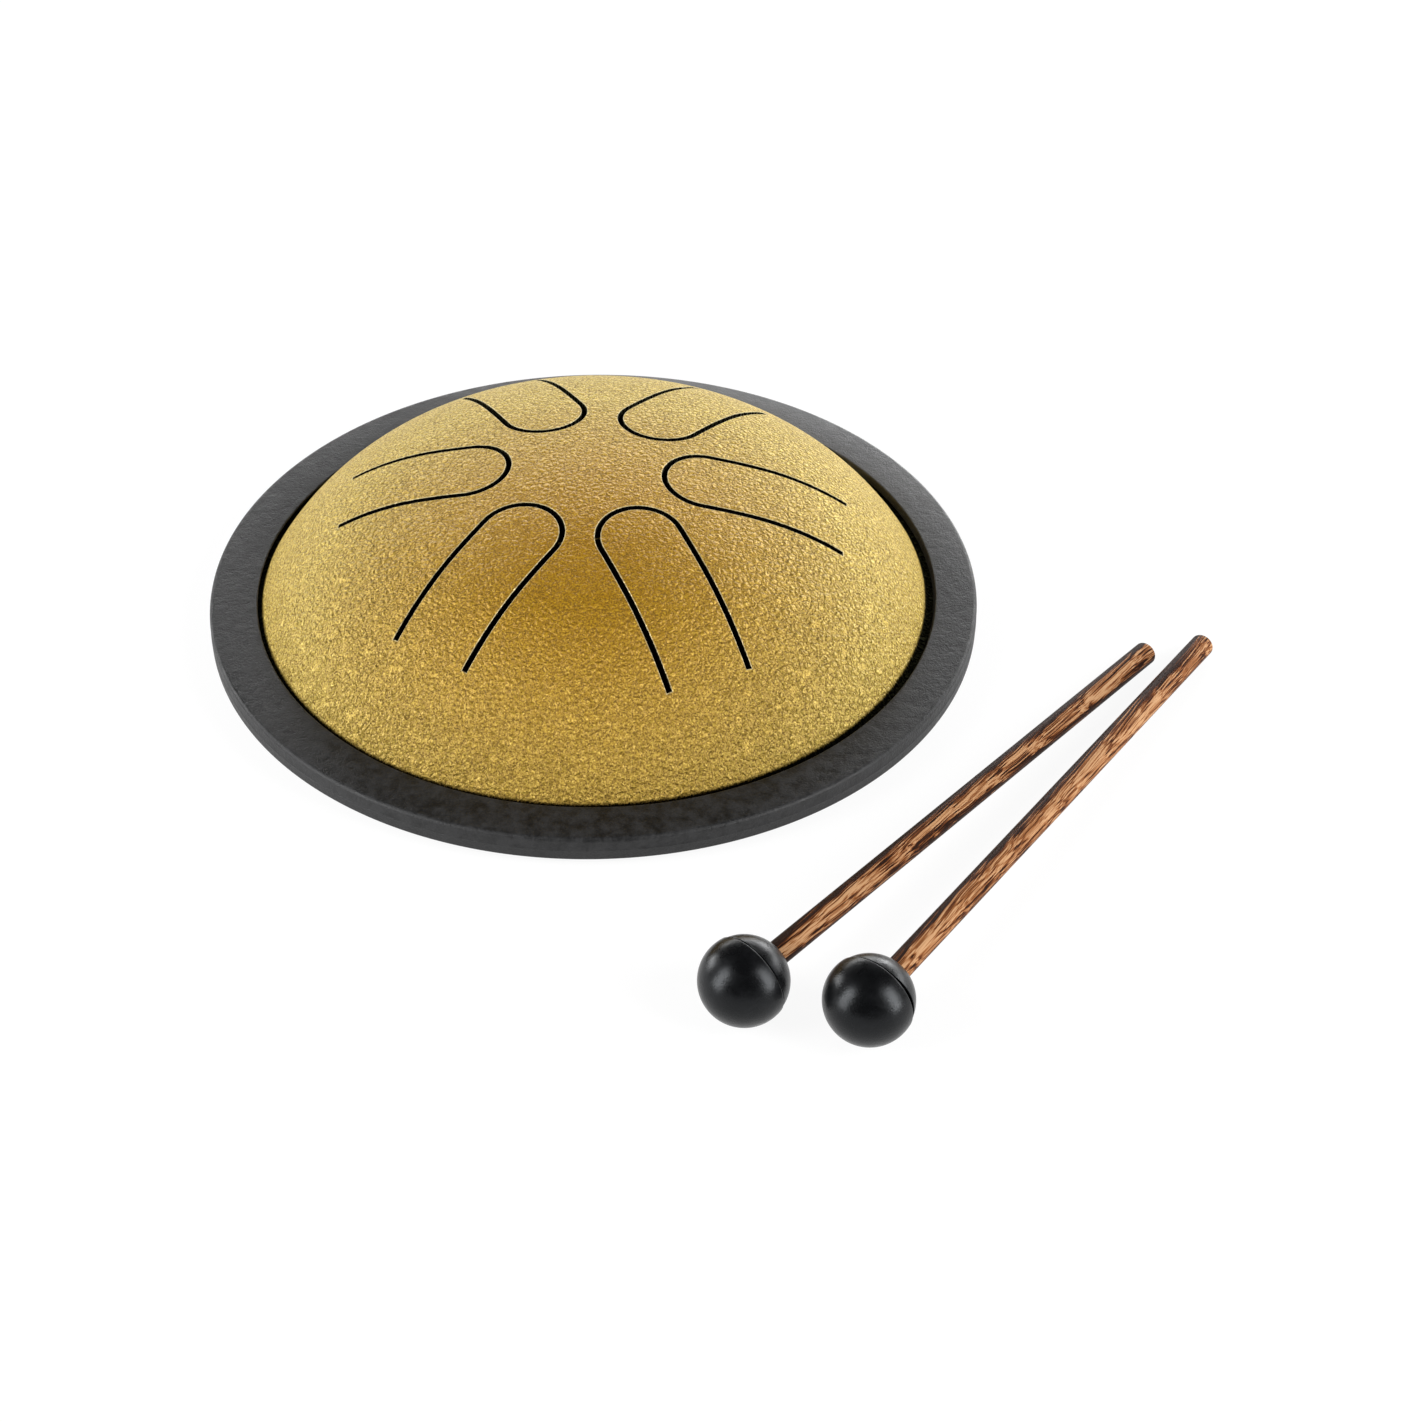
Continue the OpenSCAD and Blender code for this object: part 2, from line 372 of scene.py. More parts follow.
class Finish:
    """A material and the nodes that its shader is made of."""

    def __init__(self, name):
        self.material = bpy.data.materials.new(name)
        self.material.use_nodes = True
        self.nodes, self.links = self.material.node_tree.nodes, self.material.node_tree.links
        self.nodes.clear()

    def add(self, kind, settings, sockets, output=0):
        """Adds a node with its settings and its sockets' values or links."""
        node = self.nodes.new("ShaderNode" + kind)
        for key, value in settings.items():
            setattr(node, key, value)
        for key, value in sockets.items():
            if isinstance(value, Value):
                self.links.new(value.socket, node.inputs[key])
            else:
                node.inputs[key].default_value = value
        return Value(self, node.outputs[output]) if node.outputs else None

    def object_place(self):
        return self.add("TexCoord", {}, {}, "Object")

    def noise(self, place, size, detail=2.0, roughness=0.5, distortion=0.0):
        """Noise from 0 to 1 with lumps of about that size."""
        sockets = {"Vector": place, "Scale": 1 / size, "Detail": detail}
        sockets |= {"Roughness": roughness, "Distortion": distortion}
        return self.add("TexNoise", {}, sockets)

    def shifted(self, place, by, amount):
        """The place moved by a noise, up to that amount each way."""
        sockets = {"Vector": place, "Scale": 1 / by, "Detail": 1.0}
        swirl = self.add("TexNoise", {}, sockets, "Color")
        centred = self.vector("SUBTRACT", swirl, (0.5, 0.5, 0.5))
        return self.vector("MULTIPLY_ADD", centred, (2 * amount,) * 3, place)

    def vector(self, operation, *vectors, output=0):
        sockets = dict(enumerate(vectors))
        return self.add("VectorMath", {"operation": operation}, sockets, output)

    def parts(self, vector):
        """X, Y and Z of a vector."""
        x = self.add("SeparateXYZ", {}, {0: vector})
        return [Value(self, output) for output in x.socket.node.outputs]

    def blend(self, factor, first, second):
        """A colour between two, each a linked colour or (red, green, blue)."""
        sockets = {0: factor, 6: padded(first), 7: padded(second)}
        return self.add("Mix", {"data_type": "RGBA"}, sockets, 2)

    def colours(self, factor, *stops):
        """A colour picked by a number from 0 to 1. Each stop is (number, colour)."""
        picked = self.add("ValToRGB", {}, {"Fac": factor})
        elements = picked.socket.node.color_ramp.elements
        elements.remove(elements[1])
        elements[0].position, elements[0].color = stops[0][0], padded(stops[0][1])
        for position, tint in stops[1:]:
            elements.new(position).color = padded(tint)
        return picked

    def bump(self, height, depth):
        """Turns a height from 0 to 1 into a relief of that depth."""
        return self.add("Bump", {}, {"Height": height, "Distance": depth, "Strength": 1.0})

    def surface(self, **sockets):
        """Ends the finish in a Principled shader, whose sockets are given with _ for a space."""
        named = {key.replace("_", " "): padded(value) for key, value in sockets.items()}
        shader = self.add("BsdfPrincipled", {}, named)
        self.add("OutputMaterial", {}, {"Surface": shader})
        return self.material


def padded(value):
    """A colour with its alpha. Numbers and links stay as they are."""
    if isinstance(value, Value) or not hasattr(value, "__len__"):
        return value
    return (*value[:3], 1)


def lighter(tint, times, more=0.0):
    """A colour with every channel raised."""
    return [channel * times + more for channel in tint]


def wrinkled_gold():
    """Metallic powder coat: fine grain under a net of creases, pale and thin at the slots' edges.

    The net is an edge distance in wandering cells, each a pebble with creases round it. The creases
    and the grain's hollows are darkened as painted shade. From a calm place in front of the middle,
    the net and the pale gold grow with the square of the distance; the pale gold is a painted
    sheen.
    The "edge" attribute marks the slots' edges, pale for a thin coat and a painted highlight, and
    "painted_shade" the near-black painted shade of slot walls, inside faces and the dome's foot."""
    look = bpy.context.scene.drum_finishes
    coat = Finish("wrinkled_gold")
    place = coat.object_place()
    size = look.wrinkle_size
    grain = coat.noise(place, look.grain_size, detail=1.0, roughness=0.7)
    broken = coat.noise(place, size * 1.5)
    x, y, _ = coat.parts(place)
    forward = y + look.calm_place
    away = (x * x + forward * forward) * (1 / look.net_reach**2)
    net_start, net_growth, sheen_growth = 0.3, 0.75, 0.62
    netted = (away * net_growth + net_start).clamp()
    # Painted sheen: the gold turns pale away from the calm place in front
    pale = (away * sheen_growth).clamp()

    wave, swing, crease_width, pebble_width = 0.55, 0.3, 0.12, 0.45
    wandering = coat.shifted(place, size * wave, size * swing)
    sockets = {"Vector": wandering, "Scale": 1 / size, "Randomness": 1.0}
    edge_distance = coat.add("TexVoronoi", {"feature": "DISTANCE_TO_EDGE"}, sockets)
    crease = (1 - edge_distance.ramp(0.0, crease_width)) * broken.ramp(0.2, 0.4) * netted
    pebble = edge_distance.ramp(0.0, pebble_width) * broken.ramp(0.2, 0.5) * netted

    hollows, flecks = grain.ramp(0.5, 0.36), grain.ramp(0.52, 0.66)
    # Painted shade: creases and the grain's hollows darken towards the crease colour
    dark = (crease * look.crease_contrast + hollows * look.grain_contrast).clamp()
    bright = flecks * look.grain_contrast
    # Painted sheen, blended in by that share
    ground = coat.blend(pale, look.gold, look.gold_pale)
    flakes = coat.blend(pale, look.gold_bright, look.gold_bright_pale)
    tint = coat.blend(dark, coat.blend(bright, ground, flakes), look.gold_crease)
    edge = coat.add("Attribute", {"attribute_name": "edge"}, {}, "Fac")
    painted_shade = coat.add("Attribute", {"attribute_name": "painted_shade"}, {}, "Fac")
    ragged = 0.9
    # Painted shade, with a ragged edge: near black, metallic and rough where the attribute marks it
    steel = (painted_shade + (grain - 0.5) * ragged).ramp(0.25, 0.85)
    return coat.surface(
        Base_Color=coat.blend(steel, coat.blend(edge, tint, look.gold_cut), look.bare_steel),
        Metallic=steel.ramp(0.0, 1.0) * (1 - look.gold_metal) + look.gold_metal,
        Specular_IOR_Level=0.6,
        Specular_Tint=(1.0, 1.0, 0.74),
        Roughness=look.gold_roughness + 0.3 * (dark - 0.3) - 0.28 * edge + 0.4 * steel,
        Normal=coat.bump(grain * 0.2 + pebble, look.wrinkle_depth),
    )


def matte_charcoal():
    """Matte moulded rubber: faint cloudy mottling over a very fine grain, and painted light that
    makes it paler to one side.
    """
    look = bpy.context.scene.drum_finishes
    cloud_size, grain_size, relief = 3 * MM, 0.4 * MM, 0.06 * MM
    rubber = Finish("matte_charcoal")
    place = rubber.object_place()
    clouds = rubber.noise(place, cloud_size, detail=5.0, roughness=0.75).ramp(0.3, 0.7)
    grain = rubber.noise(place, grain_size)
    x, y, _ = rubber.parts(place)
    sideways = x * cos(look.faded_side) + y * sin(look.faded_side)
    # Painted light: paler towards the lit side
    lit = (sideways * (1 / look.faded_reach)).ramp(0.4, 1.0)
    rubbed = rubber.blend(clouds, look.charcoal, lighter(look.charcoal, 8))
    lit_rubber = rubber.blend(clouds, look.charcoal_faded, lighter(look.charcoal_faded, 1.3))
    return rubber.surface(
        Base_Color=rubber.blend(lit, rubbed, lit_rubber),
        Specular_IOR_Level=0.4,
        Roughness=look.charcoal_roughness + 0.22 * clouds,
        Normal=rubber.bump(grain + 1.3 * clouds, relief),
    )


def moulded_black():
    """Moulded rubber with a soft shine, a little dust and faint flow marks."""
    look = bpy.context.scene.drum_finishes
    cloud_size, grain_size, relief = 3 * MM, 0.25 * MM, 0.08 * MM
    rubber = Finish("moulded_black")
    place = rubber.object_place()
    clouds = rubber.noise(place, cloud_size, detail=4.0, roughness=0.65, distortion=0.4)
    grain = rubber.noise(place, grain_size)
    dusty = lighter(look.black, 2.2, 0.001)
    return rubber.surface(
        Base_Color=rubber.blend(clouds.ramp(0.4, 0.8), look.black, dusty),
        Specular_IOR_Level=0.25,
        Specular_Tint=(0.92, 0.96, 1.0),
        Roughness=look.black_roughness + 0.24 * clouds,
        Normal=rubber.bump(grain * 0.3 + clouds, relief),
    )


def streaky_wood(name, mallet):
    """Oiled hardwood with long streaks, fibres and pale hairlines.

    The "grain" attribute is the place in the stick's own axes. The noises are drawn out along its
    Z. As painted shade, the wood darkens to both sides of its palest line with the square of the
    distance, as light falls off round a stick."""
    look = bpy.context.scene.drum_finishes
    band_size, streak_size, fibre_size, hair_size = 2.2 * MM, 0.6 * MM, 0.26 * MM, 0.28 * MM
    streak_draw, fibre_draw = 0.0095, 0.0065
    wave, swing, relief = 11 * MM, 0.5 * MM, 0.05 * MM
    wood = Finish(name)
    grain = wood.add("Attribute", {"attribute_name": "grain"}, {}, "Vector")
    seed = mallet.wood_seed
    shift = (0.013 * seed, 0.021 * seed, 0.17 * seed)
    slant = (mallet.grain_slant, -0.6 * mallet.grain_slant, 0)
    slanted = wood.add("Mapping", {}, {"Vector": grain, "Rotation": slant})
    along = wood.vector("ADD", slanted, shift)
    wavy = wood.shifted(along, wave, swing)
    streak_place = wood.vector("MULTIPLY", wavy, (1.0, 1.0, streak_draw))
    fibre_place = wood.vector("MULTIPLY", wavy, (1.0, 1.0, fibre_draw))
    hair_place = wood.vector("ADD", fibre_place, (11 * MM, 7 * MM, 0.0))
    bands = wood.noise(streak_place, band_size) - 0.5
    streaks = wood.noise(streak_place, streak_size, detail=3.0, roughness=0.7) - 0.5
    fibres = wood.noise(fibre_place, fibre_size, detail=1.0, roughness=0.6) - 0.5
    hairs = wood.noise(hair_place, hair_size, detail=0.0).ramp(0.6, 0.7)
    x, y, _ = wood.parts(grain)
    # Painted shade: darker to both sides of the palest line, as light falls round the stick
    across = x * cos(mallet.wood_turn) + y * sin(mallet.wood_turn)
    side = across * (1 / (mallet.stick_diameter / 2)) - mallet.wood_heart
    middle_shade, bold = 0.61, mallet.streak_size
    shade = middle_shade + bands * bold + streaks * (2.8 * bold) + fibres * 1.8 + hairs * 0.3
    tint = wood.colours(
        shade - side * side * mallet.wood_fall,
        (0.16, look.wood_dark),
        (0.36, look.wood_brown),
        (0.56, look.wood_tan),
        (0.86, look.wood_pale),
    )
    return wood.surface(
        Base_Color=tint,
        Roughness=look.wood_roughness - 0.3 * streaks,
        Specular_IOR_Level=0.05,
        Normal=wood.bump(streaks + fibres, relief),
    )


def kept(finish):
    """A finish that pieces share, made when the first one asks for it."""
    return bpy.data.materials.get(finish.__name__) or finish()


# ---- the drum


class DomeForm:
    """Sizes of the drum that follow from DrumSizes, with the dome's section."""

    SIDE_STEPS, BEND_STEPS, EDGE_STEPS = 14, 6, 3
    FLANGE_ROUND = 0.2 * MM

    def __init__(self, size):
        self.size = size
        self.plate_z = size.ring_lift + SEAT
        self.flange_z = self.plate_z + size.plate_sheet
        self.flange_top = self.flange_z + size.dome_sheet
        self.crown_z = size.ring_lift + size.dome_height - size.crown_radius
        rise = sqrt((size.crown_radius - size.side_radius) ** 2 - size.side_offset**2)
        self.side = complex(size.side_offset, self.crown_z + rise)
        self.join_r = size.side_offset * size.crown_radius / (size.crown_radius - size.side_radius)
        reach = size.side_radius + size.bend_radius
        foot_height = self.flange_top + size.bend_radius - self.side.imag
        self.foot_angle = degrees(asin(foot_height / reach))
        self.bend = self.side + reach * np.exp(1j * radians(self.foot_angle))

    def sheet(self, plan, depth=0.0):
        """Points of the sheet below plan points, moved in by depth along the outer face's normal.

        On the crown z = centre + sqrt(R^2 - r^2). Further out it is the same with the side arc's
        centre and radius."""
        size = self.size
        r = np.abs(plan)
        crown = r < self.join_r
        centre_r = np.where(crown, 0, size.side_offset)
        centre_z = np.where(crown, self.crown_z, self.side.imag)
        radius = np.where(crown, size.crown_radius, size.side_radius)
        outward = (r - centre_r) / radius
        upward = np.sqrt(1 - outward**2)
        flat = plan * (1 - depth * outward / np.maximum(r, 1e-9))
        return np.stack([flat.real, flat.imag, centre_z + (radius - depth) * upward], -1)

    def rim_section(self, start_r):
        """From the outer face at start_r down the side, round the flange and up the inner face."""
        size, soft, foot = self.size, self.FLANGE_ROUND, self.foot_angle
        start = degrees(np.arccos((start_r - self.side.real) / size.side_radius))
        edge = size.flange_diameter / 2 - soft
        return through(
            arc(self.side, size.side_radius, start, foot, self.SIDE_STEPS),
            arc(self.bend, size.bend_radius, foot + 180, 270, self.BEND_STEPS)[1:],
            arc(complex(edge, self.flange_top - soft), soft, 90, 0, self.EDGE_STEPS),
            arc(complex(edge, self.flange_z + soft), soft, 0, -90, self.EDGE_STEPS),
            arc(self.bend, size.bend_radius + size.dome_sheet, 270, foot + 180, self.BEND_STEPS),
            arc(self.side, size.side_radius - size.dome_sheet, foot, start, self.SIDE_STEPS)[1:],
        )


class Tongue:
    """One tongue in plan, in its own axes: x runs out along its middle, y across it.

    Patches cover its sector, a sixth of the dome, with the slot left out."""

    # Cells along a leg of the slot, a third of its tip, the dome's middle and a rounded edge
    LEG, TIP, MIDDLE, ROUND = 26, 16, 8, 4
    # Cells from the slot outwards and inwards, across it and past its end
    OUTSIDE, INSIDE, BAND, END = 13, 8, 3, 6
    # Distances from the axis where patches meet
    CENTRE, CORNER, STRIP, RIM = 10 * MM, 32 * MM, 60 * MM, 68 * MM

    def __init__(self, size, tip, root):
        self.half = size.tongue_width / 2
        self.gap = size.slot_width / 2
        self.middle = tip + self.half
        self.root = root

    def leg(self, ahead):
        """Along a leg of the slot, from its end, lengthened by ahead, to the round tip."""
        return np.linspace(self.root + ahead, self.middle, self.LEG + 1)

    def fan(self):
        """Directions across the sector."""
        return np.exp(1j * np.linspace(-pi / 6, pi / 6, self.TIP + 1))

    def beside_slot(self, offset, ahead):
        """A line beside the slot: along one leg, half round the tip, and back along the other leg.

        offset is its distance from the slot's middle, positive outside the tongue."""
        reach = self.half + offset
        turns = np.linspace(pi / 2, 3 * pi / 2, 3 * self.TIP + 1)
        tip = self.middle + reach * np.exp(-1j * turns)
        leg = self.leg(ahead)
        return through(leg - 1j * reach, tip[1:-1], leg[::-1] + 1j * reach)

    def slot_sides(self, soft):
        """Lines beside the slot at distance soft from its walls, outside and inside."""
        reach = self.gap + soft
        return self.beside_slot(reach, soft), self.beside_slot(-reach, soft)

    def sector_edge(self):
        """The sector's edge, row by row as the slot's line: in along one ray, out on the other."""
        ray = through(
            np.linspace(self.STRIP, self.CORNER, self.LEG + 1),
            np.linspace(self.CORNER, self.CENTRE, self.TIP + 1)[1:],
        )
        turn = np.exp(1j * pi / 6)
        return through(ray / turn, self.CENTRE * self.fan()[1:-1], ray[::-1] * turn)

    def spine(self, ahead):
        """The tongue's middle line, row by row: along it beside the legs, one point at the tip."""
        leg = self.leg(ahead)
        return through(leg, np.full(3 * self.TIP - 1, self.middle), leg[::-1])

    def plan_patches(self, soft):
        """Patches that cover the sector: beside the slot, out to the rim circle, and the middle."""
        outer, inner = self.slot_sides(soft)
        outside = ruled(outer, self.sector_edge(), self.OUTSIDE)
        inside = ruled(inner, self.spine(soft), self.INSIDE)
        middle = np.linspace(self.CENTRE, 0, self.MIDDLE + 1)[:, None] * self.fan()
        start = through(
            outside[0, ::-1],
            ruled(outer[:1], inner[:1], self.BAND)[0, 1:-1],
            inside[0],
            inside[-1, -2::-1],
            ruled(inner[-1:], outer[-1:], self.BAND)[0, 1:-1],
            outside[-1],
        )
        end = ruled(start, self.RIM * start / np.abs(start), self.END)
        return outside, inside, end, middle

    def slot_loop(self, soft):
        """Closed line round the slot at distance soft from its walls, with mitred corners."""
        outer, inner = self.slot_sides(soft)
        return through(
            outer,
            ruled(outer[-1:], inner[-1:], self.BAND)[0, 1:-1],
            inner[::-1],
            ruled(inner[:1], outer[:1], self.BAND)[0, 1:-1],
        )


def dome_patches(form):
    """The dome's one sheet: outer and inner face, slot walls with rounded edges, and the rim."""
    size = form.size
    thickness, soft = size.dome_sheet, size.slot_edge
    bend = np.radians(np.linspace(0, 90, Tongue.ROUND + 1))
    slope = soft * (1 - np.sin(bend)) + 1j * soft * (1 - np.cos(bend))
    wall = through(slope, (slope.real + 1j * (thickness - slope.imag))[::-1])
    patches = []
    for index, (tip, root) in enumerate(zip(size.tongue_tips, size.tongue_roots)):
        turn = np.exp(1j * (size.first_tongue + index * pi / 3))
        tongue = Tongue(size, tip, root)
        outside, inside, end, middle = tongue.plan_patches(soft)
        for plan in (outside, inside, end, middle):
            faces = (form.sheet(plan * turn, depth) for depth in (0.0, thickness))
            patches += [(face, False, False) for face in faces]
        walls = [form.sheet(tongue.slot_loop(step.real) * turn, step.imag) for step in wall]
        patches.append((np.stack(walls), False, True))
        rim = end[:, -1]
        around = rim / np.abs(rim) * turn
        patches.append((swept(form.rim_section(tongue.RIM), around), False, False))
    return patches


class DRUM_OT_dome(Operator):
    """Steel dome: one sheet with six tongues, the bend at its foot and the flange"""

    bl_idname = "drum.dome"
    bl_label = "Dome"

    # Where the painted shade of the gap by the ring starts above the bend, and over what height it
    # fades in
    BARE_START, BARE_FADE = 0.8 * MM, 1.1 * MM
    # How fast slot walls and the inner face turn to near-black painted shade, and edges pale
    # (a thin coat and a painted highlight), by depth as a share of the rounding
    WALL_SLOPE, WALL_START, EDGE_SLOPE = 4.3, 0.8, 13

    def execute(self, context):
        form = DomeForm(context.scene.drum_sizes)
        size = form.size
        mesh = closed_mesh("dome_sheet", dome_patches(form))
        x, y, z = vertex_points(mesh).T
        r = np.hypot(x, y)
        on_crown = size.crown_radius - np.hypot(r, z - form.crown_z)
        on_side = size.side_radius - np.hypot(r - form.side.real, z - form.side.imag)
        depth = np.where(r < form.join_r, on_crown, on_side) / size.slot_edge
        bend_z = form.bend.imag - size.bend_radius * sin(radians(form.foot_angle))
        # Painted shade: near black below the bend, for the shadow in the gap between dome and ring
        low = np.clip((bend_z + self.BARE_START - z) / self.BARE_FADE, 0, 1) * (r > Tongue.RIM)
        # Painted shade: slot walls and the inner face go near black, for the dark inside of the
        # drum
        wall = np.clip(self.WALL_SLOPE * depth - self.WALL_START, 0, 1)
        # Pale slot edges: a thin coat, with a painted highlight
        edge = np.clip(self.EDGE_SLOPE * depth, 0, 1) * (r < Tongue.RIM)
        put_attribute(mesh, "painted_shade", np.maximum(low, wall))
        put_attribute(mesh, "edge", edge)
        put_piece(mesh, kept(wrinkled_gold), "drum", "top_shell")
        return {"FINISHED"}


class DRUM_OT_base(Operator):
    """Bottom plate with its raised middle and sound port, and the four rubber feet"""

    bl_idname = "drum.base"
    bl_label = "Base"

    PLATE_TURNS, FOOT_TURNS = 192, 64
    EDGE_ROUND, BEND_RADIUS = 0.15 * MM, 1.2 * MM

    def execute(self, context):
        size = context.scene.drum_sizes
        form = DomeForm(size)
        section = revolved(self.plate_section(form), self.PLATE_TURNS)
        plate = closed_mesh("bottom_plate", [(section, True, True)])
        x, y, z = vertex_points(plate).T
        panel = np.clip(size.panel_radius + size.panel_rise - np.hypot(x, y), 0, size.panel_rise)
        # Painted shade: the plate's upper face, inside the drum, is near black
        put_attribute(plate, "painted_shade", (z - form.plate_z - panel) / size.plate_sheet)
        put_piece(plate, kept(wrinkled_gold), "drum", "bottom_shell")
        for quarter, corner in enumerate(("rear_right", "rear_left", "front_left", "front_right")):
            centre = size.foot_circle * np.exp(1j * radians(45 + 90 * quarter))
            foot = revolved(self.foot_section(form), self.FOOT_TURNS, centre)
            mesh = closed_mesh(f"{corner}_foot", [(foot, False, True)])
            put_piece(mesh, kept(matte_charcoal), "drum", f"foot_{corner}")
        return {"FINISHED"}

    def plate_section(self, form):
        """Flat rim, a 45 degree rise with rounded bends, flat middle, and the port's soft edge."""
        size, soft, bend = form.size, self.EDGE_ROUND, self.BEND_RADIUS
        low, high, sheet = form.plate_z, form.plate_z + size.panel_rise, size.plate_sheet
        edge, port = size.flange_diameter / 2 - soft, size.port_diameter / 2 + soft
        turn = np.tan(pi / 8)
        toe_r = size.panel_radius + size.panel_rise + (bend + sheet) * turn
        toe = complex(toe_r, low + sheet + bend)
        brow = complex(size.panel_radius - bend * turn, high - bend)
        return through(
            arc(complex(edge, low + soft), soft, 0, -90, 3),
            arc(toe, bend + sheet, 270, 225, 5),
            arc(brow, bend, 45, 90, 5),
            arc(complex(port, high + soft), soft, 270, 180, 3),
            arc(complex(port, high + sheet - soft), soft, 180, 90, 3),
            arc(brow, bend + sheet, 90, 45, 5),
            arc(toe, bend, 225, 270, 5),
            arc(complex(edge, low + sheet - soft), soft, 90, 0, 3),
        )

    def foot_section(self, form):
        """From the middle below, out over the rounded lower edge, up the taper and back in."""
        radius, top = form.size.foot_diameter / 2, form.plate_z
        return through(
            0,
            arc(complex(radius - 2 * FOOT_ROUND, FOOT_ROUND), FOOT_ROUND, -90, 0, 6),
            complex(radius, top),
            complex(0, top),
        )


class DRUM_OT_ring(Operator):
    """Rubber ring whose groove grips the flanges, with a fine parting line round its wall"""

    bl_idname = "drum.ring"
    bl_label = "Edge ring"

    TURNS = 360
    FOOT_ROUND, TOP_ROUND, LIP_ROUND = 0.7 * MM, 1.0 * MM, 0.4 * MM
    GROOVE_CLEARANCE = 0.3 * MM
    # The parting line's place as a share of the ring's height, and its bead's spread
    PARTING, BEAD_SPREAD = 0.45, 2.5

    def execute(self, context):
        form = DomeForm(context.scene.drum_sizes)
        size = form.size
        points = revolved(self.section(form), self.TURNS)
        r, z = np.hypot(points[..., 0], points[..., 1]), points[..., 2]
        grip, inner = size.flange_diameter / 2, size.ring_diameter / 2 - size.ring_width
        inwards = np.clip((grip - r) / (grip - inner), 0, 1)
        points[..., 0] += size.lip_shift * inwards * np.clip((z - form.flange_top) / MM, 0, 1)
        mesh = closed_mesh("rubber_ring", [(points, True, True)])
        put_piece(mesh, kept(matte_charcoal), "drum", "edge_ring")
        return {"FINISHED"}

    def section(self, form):
        """Rounded lower edge, wall with its bead, rounded top edge, lip, groove and lower lip.

        The upper lip leans in a little, towards the dome."""
        size = form.size
        foot, lip, crest = self.FOOT_ROUND, self.LIP_ROUND, self.TOP_ROUND
        low, top = size.ring_lift, size.ring_lift + size.ring_height
        bead = size.ring_bead
        outer = size.ring_diameter / 2 - bead
        inner = size.ring_diameter / 2 - size.ring_width
        groove = size.flange_diameter / 2 + self.GROOVE_CLEARANCE
        middle = low + self.PARTING * size.ring_height
        spread = self.BEAD_SPREAD * bead
        return through(
            arc(complex(outer - foot, low + foot), foot, -90, 0, 6),
            complex(outer, middle - spread),
            complex(outer + bead, middle),
            complex(outer, middle + spread),
            arc(complex(outer - crest, top - crest), crest, 0, 90, 9),
            arc(complex(inner + lip - size.lip_lean, top + size.ring_rise - lip), lip, 90, 180, 5),
            complex(inner, form.flange_top),
            complex(groove, form.flange_top),
            complex(groove, form.plate_z),
            complex(inner, form.plate_z),
            arc(complex(inner + lip, low + lip), lip, 180, 270, 5),
        )


# ---- the mallets


def turn_matrix(axis, turn):
    """3 x 3 matrices that turn about one axis: cos I + (1 - cos) aa' + sin [a] for each angle."""
    turn = np.asarray(turn, float)[..., None, None]
    x, y, z = axis
    cross = np.array([[0, -z, y], [z, 0, -x], [-y, x, 0]])
    along = (1 - np.cos(turn)) * np.outer(axis, axis)
    return np.cos(turn) * np.eye(3) + along + np.sin(turn) * cross


def laid(points, mallet):
    """Local points, +Z from the head's middle to the free end, laid on the floor.

    The head and the stick's rounded end touch the floor, which tips the stick by the droop."""
    reach, drop = mallet.stick_reach - STICK_ROUND, mallet.stick_diameter / 2 - STICK_ROUND
    lift = mallet.head_diameter / 2 - STICK_ROUND
    droop = asin(lift / hypot(reach, drop)) - atan(drop / reach)
    turned = turn_matrix((0, 0, 1), mallet.bearing) @ turn_matrix((0, 1, 0), droop + pi / 2)
    return points @ turned.T + np.array([*mallet.place, mallet.head_diameter / 2])


def stick_mesh(name, mallet):
    """A turned stick: flat inner end, shaft in rings, and softened free end."""
    radius, start = mallet.stick_diameter / 2, mallet.stick_reach - STICK_ROUND
    rings, turns = 60, 72
    section = through(
        complex(0, -mallet.stick_seat),
        complex(radius, -mallet.stick_seat),
        radius + 1j * np.linspace(0, start, rings)[:-1],
        arc(complex(radius - STICK_ROUND, start), STICK_ROUND, 0, 90, 7),
        complex(0, mallet.stick_reach),
    )
    mesh = closed_mesh(name, [(revolved(section, turns), False, True)])
    grain = vertex_points(mesh).astype(np.float32)
    mesh.attributes.new("grain", "FLOAT_VECTOR", "POINT").data.foreach_set("vector", grain.ravel())
    mesh.vertices.foreach_set("co", laid(grain.astype(float), mallet).astype(np.float32).ravel())
    mesh.update()
    return mesh


